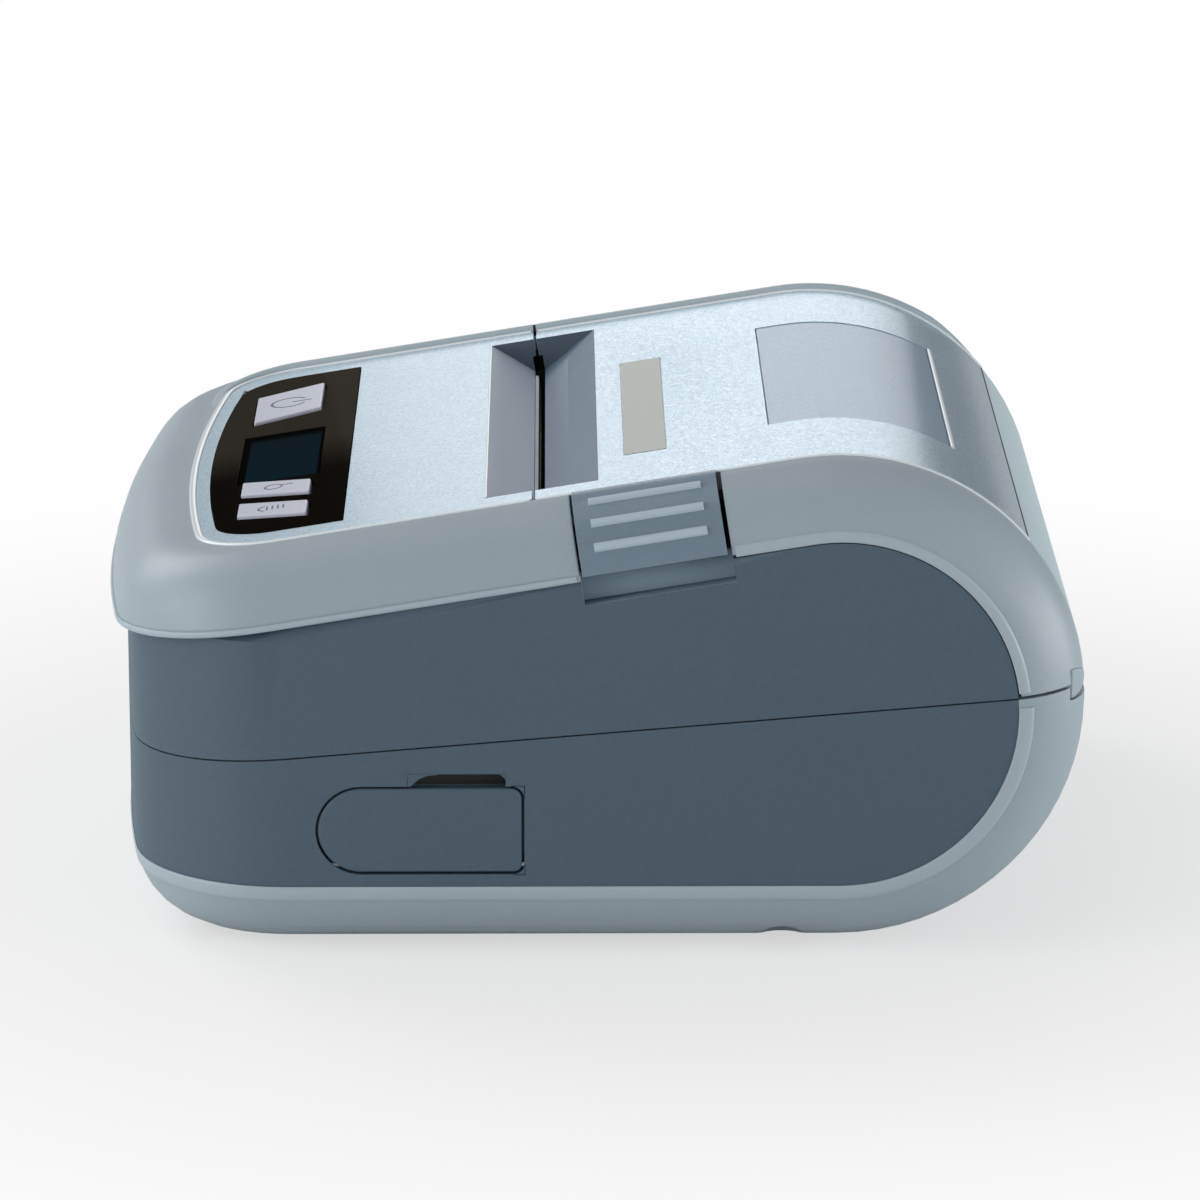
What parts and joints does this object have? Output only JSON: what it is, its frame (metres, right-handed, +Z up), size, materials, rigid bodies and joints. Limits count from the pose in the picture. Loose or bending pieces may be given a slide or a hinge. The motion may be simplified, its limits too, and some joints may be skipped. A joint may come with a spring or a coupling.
{
  "type": "portable thermal printer",
  "caption": "Portable receipt printer with a sloping top, rounded hinge end, lift-up lid over the paper roll, side release button, keys and display.",
  "frame": {"origin": "on the surface it stands on, at the middle of the body's length and width", "axes": "+X towards the round hinge end, -X towards the keys, -Y towards the side with the release button and sockets, +Z up"},
  "size_m": [0.1234, 0.1122, 0.0621],
  "materials": {
    "trim": "fine satin",
    "side_panel": "fine matt texture",
    "silver": "metallic silver paint",
    "bezel": "gloss",
    "keys": "satin",
    "lens": "polished",
    "lcd": "matt",
    "board": "solder mask",
    "black_plastic": "moulded",
    "steel": "plain",
    "ceramic": null,
    "alloy": "plain",
    "film": "film",
    "frame_plastic": "moulded",
    "brass": "plain",
    "gear_plastic": "natural",
    "rubber": "matt",
    "liner": "moulded",
    "cell": "wrapped cell",
    "inlay": "smooth satin",
    "label": "plain film"
  },
  "bodies": {
    "case": {"bottom_shell": "trim", "lower_case": "side_panel", "upper_case": "side_panel", "front_trim": "trim", "front_panel": "silver", "keypad_bezel": "bezel", "lcd_lens": "lens", "lcd_module": "lcd", "keypad_board": "board", "push_switches": "black_plastic", "tear_bar": "steel", "print_head": "ceramic", "head_heatsink": "alloy", "head_springs": "steel", "head_cable": "film", "paper_sensor": "black_plastic", "lid_switch": "black_plastic", "mechanism_frame": "frame_plastic", "mechanism_screws": "steel", "stepper_motor": "steel", "roll_cradle": "liner", "main_board": "board", "board_screws": "steel", "radio_module": "alloy", "buzzer": "black_plastic", "socket_board": "board", "dc_jack": "black_plastic", "jack_pin": "steel", "usb_socket": "steel", "usb_tongue": "black_plastic", "battery_case": "black_plastic", "battery_cells": "cell", "battery_contacts": "brass", "rubber_feet": "rubber", "case_screws": "steel", "latch_spring": "steel", "hinge_pins": "steel"},
    "power_key": {"power_key": "keys"},
    "mode_key": {"mode_key": "keys"},
    "feed_key": {"feed_key": "keys"},
    "latch": {"latch_button": "trim"},
    "lever": {"release_lever": "steel"},
    "flap": {"port_flap": "side_panel"},
    "door": {"battery_door": "trim"},
    "lid": {"lid_cover": "silver", "lid_trim": "trim", "lid_inlay": "inlay", "lid_label": "label", "lid_liner": "liner", "lid_screws": "steel", "platen_bushes": "gear_plastic"},
    "platen": {"platen_roller": "rubber", "platen_shaft": "steel", "platen_gear": "gear_plastic"},
    "idler": {"idler_gear": "gear_plastic"},
    "pinion": {"motor_pinion": "brass"}
  },
  "joints": [
    {"name": "lid_hinge", "type": "hinge", "parent": "case", "child": "lid", "pos_m": [0.0597, 0, 0.03426], "axis": [0, 1, 0], "range_deg": [0, 95]},
    {"name": "platen_spin", "type": "hinge", "parent": "lid", "child": "platen", "pos_m": [-0.00017, 0, 0.04612], "axis": [0, 1, 0], "continuous": true},
    {"name": "idler_spin", "type": "hinge", "parent": "case", "child": "idler", "pos_m": [-0.00264, 0, 0.03367], "axis": [0, 1, 0], "continuous": true},
    {"name": "pinion_spin", "type": "hinge", "parent": "case", "child": "pinion", "pos_m": [-0.01354, 0, 0.03344], "axis": [0, 1, 0], "continuous": true},
    {"name": "latch_slide", "type": "slide", "parent": "case", "child": "latch", "axis": [0.1599, 0, -0.9871], "range_m": [0, 0.0032], "stiffness_N_per_m": 500, "springref_m": -0.001, "deforming": ["latch_spring"]},
    {"name": "lever_turn", "type": "hinge", "parent": "case", "child": "lever", "pos_m": [0.00655, 0, 0.04154], "axis": [0, 1, 0], "range_deg": [0, 32.2]},
    {"name": "power_key_press", "type": "slide", "parent": "case", "child": "power_key", "axis": [0.1599, 0, -0.9871], "range_m": [0, 0.0005], "stiffness_N_per_m": 1500, "springref_m": -0.0005},
    {"name": "mode_key_press", "type": "slide", "parent": "case", "child": "mode_key", "axis": [0.1599, 0, -0.9871], "range_m": [0, 0.0005], "stiffness_N_per_m": 1500, "springref_m": -0.0005},
    {"name": "feed_key_press", "type": "slide", "parent": "case", "child": "feed_key", "axis": [0.1599, 0, -0.9871], "range_m": [0, 0.0005], "stiffness_N_per_m": 1500, "springref_m": -0.0005},
    {"name": "flap_hinge", "type": "hinge", "parent": "case", "child": "flap", "pos_m": [-0.0338, -0.0552, 0.012], "axis": [1, 0, 0], "range_deg": [0, 100]},
    {"name": "door_hinge", "type": "hinge", "parent": "case", "child": "door", "pos_m": [-0.0443, 0, 0.0017], "axis": [0, 1, 0], "range_deg": [0, 85]}
  ],
  "couplings": [
    {"joint": "idler_spin", "follows": "platen_spin", "ratio": -0.75},
    {"joint": "pinion_spin", "follows": "platen_spin", "ratio": 1.5},
    {"joint": "lever_turn", "follows": "latch_slide", "rad_per_m": 174.6}
  ]
}
